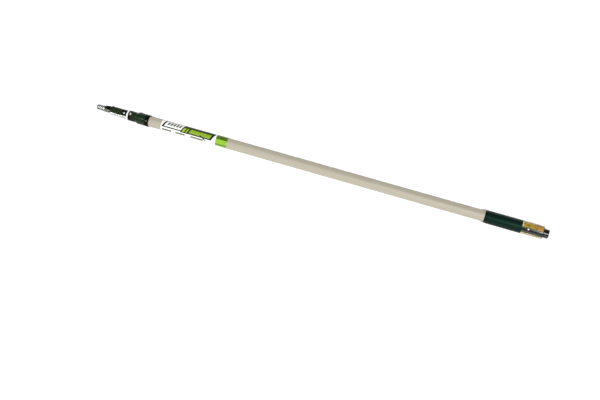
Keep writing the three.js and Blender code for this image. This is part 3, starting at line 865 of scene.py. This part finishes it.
def leaf_spring():
    """A leaf under the yoke, shaped so that the pressed button lays it on the collar's cavity."""
    low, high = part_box("lock_spring")
    start, end, _ = span("lock_spring")
    rim = high.y / MM
    half = high.z / MM - AXIS_HEIGHT
    reach = 1.8
    clearance = 0.015
    thickness = 0.1

    def at_rest(radius, z):
        """The height at rest of the point that the pressed button brings to this radius."""
        wanted = -sqrt(radius ** 2 - z ** 2)
        lower, upper = rim - reach, rim
        for _ in range(30):
            y = (lower + upper) / 2
            if y - LOCK_TRAVEL * smooth(rim - y, 0, reach) > wanted:
                upper = y
            else:
                lower = y
        return y

    def ring(shrink):
        steps = 24
        zs = [half * shrink * (2 * k / steps - 1) for k in range(steps + 1)]
        floor = CAVITY_RADIUS - clearance
        under = [(at_rest(floor, z), z) for z in zs]
        return under + [(at_rest(floor - thickness, z), z) for z in reversed(zs)]

    sections = [(start, ring(0.8)), (start + 0.4, ring(0.93)), (start + 1.4, ring(1.0))]
    sections += [(end - 1.4, ring(1.0)), (end - 0.4, ring(0.93)), (end, ring(0.8))]
    edge = Vector((low.x, high.y, low.z))
    bodies = ("handle", "lock", edge, edge - Vector((0, reach * MM, 0)))
    publish("leaf_spring", lofted(sections), SPRING_STEEL, bodies, ["lock_spring"])


# ---- lock

def lock_yoke():
    """The ring round the inner pole, with room on both sides of its travel, outside and inside."""
    shifted = Matrix.Translation((0, LOCK_TRAVEL, 0))
    bar = (YOKE_START, YOKE_END, YOKE_RADIUS, 0.4)
    outer = met(rod(*bar), rod(*bar, place=shifted))
    bore = POLE_RADIUS + 0.2
    through = (YOKE_START - 1, YOKE_END + 1)
    tooth_hole = rod(5, 20, TOOTH_RADIUS + 0.1, place=radial(TOOTH_X, -pi / 2), sides=32)
    mesh = cut(outer, rod(*through, bore), rod(*through, bore, place=shifted),
               block(*through, 0, LOCK_TRAVEL, -bore, bore), tooth_hole)
    publish("lock_ring", mesh, BLACK, "lock", ["lock_yoke"])


def lock_tooth():
    """The pin in the yoke, its foot kept clear of the leaf below it."""
    low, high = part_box("lock_tooth")
    tip = -high.y / MM
    foot = -low.y / MM - 0.1
    corners = [(tip, 0, 0), (tip, TOOTH_RADIUS, 0.5), (foot, TOOTH_RADIUS, 0.2), (foot, 0, 0)]
    mesh = turned(corners, sides=40, place=radial(TOOTH_X, -pi / 2))
    publish("lock_pin", mesh, PIN_STEEL, "lock", ["lock_tooth"])


def lock_button():
    """A saddle in the collar's window, with a low ribbed knob for the thumb."""
    low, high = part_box("lock_button")
    knob_top = high.y / MM
    skin = 16.0
    knob_start, knob_end, knob_half = 125, 132.4, 5.5

    def knob(x, angle, radius):
        if radius < skin - 0.1:
            return radius
        across = abs(arc_from(angle, pi / 2, radius))
        fade = 1 - smooth(across, knob_half - 0.9, knob_half)
        length = smooth(x, knob_start, knob_start + 0.8) * (1 - smooth(x, knob_end - 0.8, knob_end))
        ribs = 0.75 + 0.25 * cos(2 * pi * (x - knob_start) / 1.48)
        return radius + (knob_top - skin) * fade * length * ribs

    blank = turned([
        (BUTTON_START, 0, 0),
        (BUTTON_START, 14.7, 0.3),
        (BUTTON_START + 3, skin, 1.0),
        (BUTTON_END, skin, 0.3),
        (BUTTON_END, 0, 0),
    ], sides=288, step=0.25, relief=knob)
    half = BUTTON_HALF_WIDTH
    window = block(BUTTON_START - 1, BUTTON_END + 1, low.y / MM, 20, -half, half, round_off=0.4)
    pole_room = rod(BUTTON_START - 2, BUTTON_END + 2, POLE_RADIUS + 0.3,
                    place=Matrix.Translation((0, LOCK_TRAVEL, 0)))
    yoke_room = rod(YOKE_START - 0.3, YOKE_END + 0.3, YOKE_RADIUS + 0.05)
    mesh = cut(met(blank, window), pole_room, yoke_room)
    publish("thumb_button", mesh, NAVY, "lock", ["lock_button"])


# ---- inner pole

def inner_tube():
    """The drawn pole: open at the front for the lever, with a row of stop holes on the other side."""
    tube = sleeve(POLE_START, POLE_END, POLE_BORE, POLE_RADIUS, fillet=0.25, sides=128)
    bay = block(POLE_START - 4, LEVER_BAY_END, KEEL_TOP, 20, -20, 20)
    holes = [rod(5, 20, TOOTH_RADIUS + 0.9, place=radial(TOOTH_X + i * STOP_PITCH, -pi / 2), sides=32)
             for i in range(STOPS + 1)]
    publish("sliding_tube", cut(tube, bay, *holes), ALUMINIUM, "inner_pole", ["inner_tube"])


def stop_ring():
    """The ring on the inner pole that meets the collar's mouth when the pole is closed."""
    mesh = sleeve(STOP_START, STOP_END, POLE_RADIUS + 0.05, STOP_RADIUS, fillet=0.4)
    publish("stop_collar", mesh, NYLON, "inner_pole", ["stop_ring"])


def pole_guide():
    """The plug in the inner pole's back end, whose flange runs in the outer tube."""
    spigot = POLE_BORE - 0.15
    mesh = turned([
        (GUIDE_START, spigot - 2, 0.2),
        (GUIDE_START, spigot, 0.6),
        (POLE_END + 0.2, spigot, 0),
        (POLE_END + 0.2, GUIDE_RADIUS, 0.4),
        (GUIDE_END, GUIDE_RADIUS, 0.8),
        (GUIDE_END, spigot - 2, 0.2),
    ])
    publish("tail_guide", mesh, NYLON, "inner_pole", ["pole_guide"])


def threaded_tip():
    """The cast tip. Its thread is one turned surface whose radius follows the groove and the two flats."""
    root, front, back = 6.7, 8.2, 8.9
    root_width = 0.37 * THREAD_PITCH
    flank = tan(radians(14.5))
    flat = 7.6

    def thread(x, angle, radius):
        if x > SHOULDER_START:
            return radius
        turn = (pi / 2 - angle) / (2 * pi)
        off = (x + 4 - THREAD_PITCH * (turn - 0.5)) % THREAD_PITCH - THREAD_PITCH / 2
        groove = root + max(0.0, abs(off) - root_width / 2) / flank
        groove += 3 * smooth(x, 19.2, 21.5)
        level = flat / max(abs(cos(angle)), 1e-3)
        return min(radius, groove, level)

    screw = turned([
        (TIP_START, 0, 0),
        (TIP_START, 7.2, 0.2),
        (1.1, front, 0.4),
        (SHOULDER_START, back, 0),
        (SHOULDER_START, SHOULDER_RADIUS, 0.3),
        (NECK_START, SHOULDER_RADIUS, 0.3),
        (NECK_START, NECK_RADIUS, 0.3),
        (POLE_START, NECK_RADIUS, 0),
        (POLE_START, SHANK_RADIUS, 0.3),
        (SHANK_END, SHANK_RADIUS, 0.6),
        (SHANK_END, 0, 0),
    ], sides=144, step=0.2, relief=thread)
    above_neck = block(NECK_START + 0.3, POLE_START, NECK_KEEL_TOP, 20, -20, 20)
    above_keel = block(POLE_START - 0.1, LEVER_BAY_END, KEEL_TOP - 0.3, 20, -20, 20)
    web = joined(
        block(NECK_START - 0.7, 44, -6, 3.3, -4.9, 4.9),
        extruded([(42, -9), (91.2, -9), (91.2, 7.0), (76, 7.0), (POLE_START, 5.2), (42, 3.3)], 4.4),
    )
    spring_pocket = rod(0, 20, 3, place=radial(SPRING_X, pi / 2), sides=40)
    pivot_hole = rod(-20, 20, PIVOT_RADIUS + 0.1, place=upright(PIVOT.x, PIVOT.y), sides=40)
    mesh = cut(joined(cut(screw, above_neck, above_keel), web), spring_pocket, pivot_hole)
    publish("screw_tip", mesh, ZINC, "inner_pole", ["threaded_tip"], sharp=30)


def tip_rivets():
    rivets("tip_rivet_head", "tip_rivet", "inner_pole", TIP_RIVET_X, TIP_RIVET_ANGLE,
           seat=POLE_RADIUS, head=1.6, height=0.6, shank=1.1, depth=2.6)


def lever_pin():
    """The pivot pin, with a domed head on the upper side."""
    low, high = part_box("lever_pin")
    bottom, top = low.z / MM - AXIS_HEIGHT, high.z / MM - AXIS_HEIGHT
    mesh = turned([
        (bottom, 0, 0),
        (bottom, PIVOT_RADIUS, 0.4),
        (top - 1, PIVOT_RADIUS, 0),
        (top - 1, PIVOT_RADIUS + 1.1, 0.2),
        (top - 0.35, PIVOT_RADIUS + 0.9, 0.4),
        (top, 1.2, 1.0),
        (top, 0, 0),
    ], sides=48, place=upright(PIVOT.x, PIVOT.y))
    publish("pivot_pin", mesh, PIN_STEEL, "inner_pole", ["lever_pin"])


def lever_pin_clip():
    """The sprung push-on clip on the pivot pin's lower end."""
    low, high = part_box("lever_pin_clip")
    start, end = low.z / MM - AXIS_HEIGHT, high.z / MM - AXIS_HEIGHT

    def prongs(x, angle, radius):
        if radius > PIVOT_RADIUS + 0.5:
            return radius
        return radius + 0.45 * smooth(cos(6 * angle), 0.55, 0.85)

    mesh = turned([
        (start, PIVOT_RADIUS + 0.02, 0),
        (start, PIVOT_RADIUS + 1, 0.1),
        (end - 0.15, PIVOT_RADIUS + 1, 0.1),
        (end, PIVOT_RADIUS + 0.6, 0),
        (end, PIVOT_RADIUS + 0.02, 0),
    ], sides=96, relief=prongs, place=upright(PIVOT.x, PIVOT.y))
    publish("pivot_clip", mesh, SPRING_STEEL, "inner_pole", ["lever_pin_clip"])


def lever_spring():
    """A coil spring whose end turns lie nearly flat."""
    wire, turns, radius = 0.35, 6, 2.2
    foot, top = SPRING_LOW.y / MM + wire, SPRING_HIGH.y / MM - wire
    steps, sides = 32 * turns, 12
    up = Vector((0, 1, 0))
    first = smooth(0, -0.06, 1.06)
    grown = bmesh.new()
    rings = []
    for i in range(steps + 1):
        angle = 2 * pi * turns * i / steps
        rise = (smooth(i / steps, -0.06, 1.06) - first) / (1 - 2 * first)
        out = Vector((cos(angle), 0, sin(angle)))
        centre = Vector((SPRING_X, foot + (top - foot) * rise, 0)) + out * radius
        ring = []
        for k in range(sides):
            turn = 2 * pi * k / sides
            ring.append(grown.verts.new(centre + wire * (cos(turn) * out + sin(turn) * up)))
        rings.append(ring)
    skin(grown, rings)
    grown.faces.new(rings[0])
    grown.faces.new(rings[-1][::-1])
    bodies = ("inner_pole", "lever", SPRING_LOW, Vector((SPRING_LOW.x, SPRING_HIGH.y, SPRING_LOW.z)))
    publish("press_spring", mesh_from(grown), SPRING_STEEL, bodies, ["lever_spring"])


# ---- lever

def arch_line(side, springing, roof, foot, count):
    """Points (y, z) of an arch that opens downwards: upright sides and a half-elliptical roof."""
    upright_count = count // 5
    points = []
    for k in range(upright_count):
        points.append((foot + (springing - foot) * k / upright_count, side))
    arc_count = count - 2 * upright_count
    for k in range(arc_count):
        t = pi * k / (arc_count - 1)
        points.append((springing + (roof - springing) * sin(t), side * cos(t)))
    for k in reversed(range(upright_count)):
        points.append((foot + (springing - foot) * k / upright_count, -side))
    return points


def shell_ring(outer, tunnel, foot, pad=None, pad_half=0, count=60):
    """The ring of a lever section: an outer arc of radius outer down to level foot, and a tunnel
    (side, springing, roof) inside it. pad(z) may lift the outer line within pad_half of the middle."""
    low = asin(foot / outer)
    line = []
    for k in range(count):
        angle = low + (pi - 2 * low) * k / (count - 1)
        y, z = outer * sin(angle), outer * cos(angle)
        if abs(z) < pad_half and y > 0:
            y = max(y, pad(z))
        line.append((y, z))
    return line + arch_line(*tunnel, foot, count)[::-1]


# Arches under and inside the lever: half width, height where the roof begins, and height of the roof.
NOSE_TUNNEL = (7.4, 3.2, 7.4)
ARM_TUNNEL = (7.9, 3.2, 8.3)
SKIN = (8.9, 3.6, 9.3)
COVER_TUNNEL = (9.05, 3.75, 9.5)


def lever_arm():
    """The black arm: a latch nose with a catch ridge, a channel under the cover and the pivot block."""
    nose_end, nose_radius = COVER_START - 0.3, 10.0
    channel_start, block_start = 43.2, COVER_END + 0.3
    nose_foot, channel_foot, block_foot = -0.9, -5.3, -5.0

    def ridge(x):
        height = 10.7 - 1.4 * smooth(35.5 - x, 0, 6.5)
        edge = smooth(x, 28.6, 29.4) * (1 - smooth(x, 36.3, 37))
        return lambda z: height * edge * (1 - 0.25 * smooth(abs(z), 2.4, 4.0))

    def skin_ring(foot):
        return arch_line(*SKIN, foot, 60) + arch_line(*ARM_TUNNEL, foot, 60)[::-1]

    sections = []
    for along, shrink in ((0, 0.8), (0.15, 0.4), (0.4, 0.15), (0.8, 0)):
        sections.append((ARM_START + along, shell_ring(nose_radius - shrink, NOSE_TUNNEL, nose_foot)))
    x = ARM_START + 1.2
    while x < nose_end:
        sections.append((x, shell_ring(nose_radius, NOSE_TUNNEL, nose_foot, ridge(x), 4.2)))
        x += 0.3
    sections += [
        (nose_end, shell_ring(nose_radius, NOSE_TUNNEL, nose_foot)),
        (nose_end + 0.02, skin_ring(nose_foot)),
        (channel_start, skin_ring(nose_foot)),
        (channel_start + 0.4, skin_ring(channel_foot)),
        (block_start - 0.02, skin_ring(channel_foot)),
    ]
    for along, shrink in ((0, 0.3), (0.3, 0)):
        sections.append((block_start + along, shell_ring(LEVER_RADIUS - shrink, ARM_TUNNEL, block_foot)))
    for along, shrink in ((0.8, 0), (0.4, 0.15), (0.15, 0.4), (0, 0.8)):
        sections.append((ARM_END - along, shell_ring(LEVER_RADIUS - shrink, ARM_TUNNEL, block_foot)))
    bore, wide, wide_from = PIVOT_RADIUS + 0.15, PIVOT_RADIUS + 1.5, -10.1
    stepped = [(-20, 0, 0), (-20, wide, 0), (wide_from, wide, 0), (wide_from, bore, 0)]
    stepped += [(-x, radius, 0) for x, radius, _ in reversed(stepped)]
    pivot_hole = turned(stepped, sides=40, place=upright(PIVOT.x, PIVOT.y))
    mesh = cut(lofted(sections), pivot_hole)
    publish("latch_arm", mesh, BLACK, "lever", ["lever_arm"])


def lever_cover():
    """The green cover, with a ribbed thumb bump near its front and a deeper lower edge at mid length."""
    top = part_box("lever_cover")[1].y / MM

    def foot(x):
        return -4.6 - 1.5 * sin(pi * (x - COVER_START) / (COVER_END - COVER_START)) ** 0.7

    def bump(x):
        off = x - COVER_START
        rise = smooth(off, 0, 3.2) * (1 - smooth(off, 4.5, 11.5))
        ribs = rise * 0.18 * (1 - cos(2 * pi * off / 1.6)) / 2
        low = LEVER_RADIUS - 2.6
        height = low + (top - low) * rise

        def level(z):
            across = abs(z)
            return height - ribs * (1 - smooth(across, 3.6, 4.4)) - 4.5 * smooth(across, 4.6, 7.2)

        return level

    sections = []
    for along, shrink in ((0, 0.7), (0.15, 0.3), (0.4, 0.1), (0.7, 0)):
        x = COVER_START + along
        sections.append((x, shell_ring(LEVER_RADIUS - shrink, COVER_TUNNEL, foot(x), bump(x), 7.2)))
    x = COVER_START + 0.95
    while x < COVER_END - 0.6:
        sections.append((x, shell_ring(LEVER_RADIUS, COVER_TUNNEL, foot(x), bump(x), 7.2)))
        x += 0.25 if x < COVER_START + 12 else 1.0
    for along, shrink in ((0.5, 0), (0.25, 0.1), (0, 0.4)):
        x = COVER_END - along
        sections.append((x, shell_ring(LEVER_RADIUS - shrink, COVER_TUNNEL, foot(x))))
    publish("latch_cover", lofted(sections), LEVER_GREEN, "lever", ["lever_cover"])


# ---- floor, light and camera

def floor():
    """A pale floor, a gap of half a millimetre below the pole."""
    gap = 0.0005
    grown = bmesh.new()
    bmesh.ops.create_grid(grown, x_segments=1, y_segments=1, size=30)
    mesh = mesh_from(grown)
    paint = Paint("studio_floor", 0.8, specular=0.2)
    clouds = paint.ranged(paint.noise((3, 3, 3), detail=2), 0.3, 0.7)
    paint.set_colour(paint.mixed(clouds, (0.94, 0.94, 0.94), (0.96, 0.96, 0.96)))
    mesh.materials.append(paint.material)
    ground = placed("studio_floor", mesh)
    ground.location.z = -gap


def softbox(name, place, size, energy, target=(0, 0, 0)):
    """A rectangular lamp that lights the scene, but is not in the picture."""
    light = bpy.data.lights.new(name, "AREA")
    light.shape = "RECTANGLE"
    light.size, light.size_y = size
    light.energy = energy
    lamp = placed(name, light)
    lamp.location = place
    lamp.rotation_mode = "QUATERNION"
    lamp.rotation_quaternion = (Vector(target) - Vector(place)).to_track_quat("-Z", "Y")
    lamp.visible_camera = False


def backdrop():
    """A white backdrop to the camera, which gives the scene only a dim even light."""
    world = bpy.data.worlds.new("studio")
    world.use_nodes = True
    nodes, links = world.node_tree.nodes, world.node_tree.links
    sky = nodes["Background"]
    fill(sky, {"Color": (1, 1, 1, 1)})
    seen = nodes.new("ShaderNodeMapRange")
    fill(seen, {"To Min": 0.16, "To Max": 1.0})
    links.new(nodes.new("ShaderNodeLightPath").outputs["Is Camera Ray"], seen.inputs["Value"])
    links.new(seen.outputs["Result"], sky.inputs["Strength"])
    bpy.context.scene.world = world


def broad_light():
    """Soft light from nearly overhead, tilted so that the pole hides most of its own shadow."""
    light = bpy.data.lights.new("broad_light", "SUN")
    light.energy = 2.75
    light.angle = radians(6)
    placed("broad_light", light).rotation_euler = (radians(5), radians(22), 0)


def softboxes():
    softbox("strip_light", (0.0, 0.1, 3.0), (5.4, 0.3), 24)
    softbox("side_light", (0.0, -2.6, 1.2), (3.4, 0.5), 30)
    softbox("tip_light", (-2.2, 0, 0.8), (0.35, 0.35), 8, target=(-0.5, 0, 0))


def camera():
    """Nearly straight above, leaning to the butt, rolled so that the pole runs down to the right."""
    lean, roll = radians(9.41), radians(16.242)
    look_at, distance = Vector((-0.0084, -0.0917, AXIS_HEIGHT * MM)), 2.183
    lens_mm = 49.57
    data = bpy.data.cameras.new("camera")
    data.lens = lens_mm
    eye = placed("camera", data)
    turn = Matrix.Rotation(lean, 4, "Y") @ Matrix.Rotation(roll, 4, "Z")
    eye.matrix_world = Matrix.Translation(look_at) @ turn @ Matrix.Translation((0, 0, distance))
    bpy.context.scene.camera = eye


camera()
floor()
backdrop()
broad_light()
softboxes()
bpy.context.scene.view_settings.view_transform = "Standard"

outer_tube()
grip()
labels()
butt_cap()
collar_mouth()
mouth_pads()
collar_body()
collar_band()
collar_rivets()
leaf_spring()
lock_yoke()
lock_tooth()
lock_button()
inner_tube()
stop_ring()
pole_guide()
threaded_tip()
tip_rivets()
lever_pin()
lever_pin_clip()
lever_spring()
lever_arm()
lever_cover()
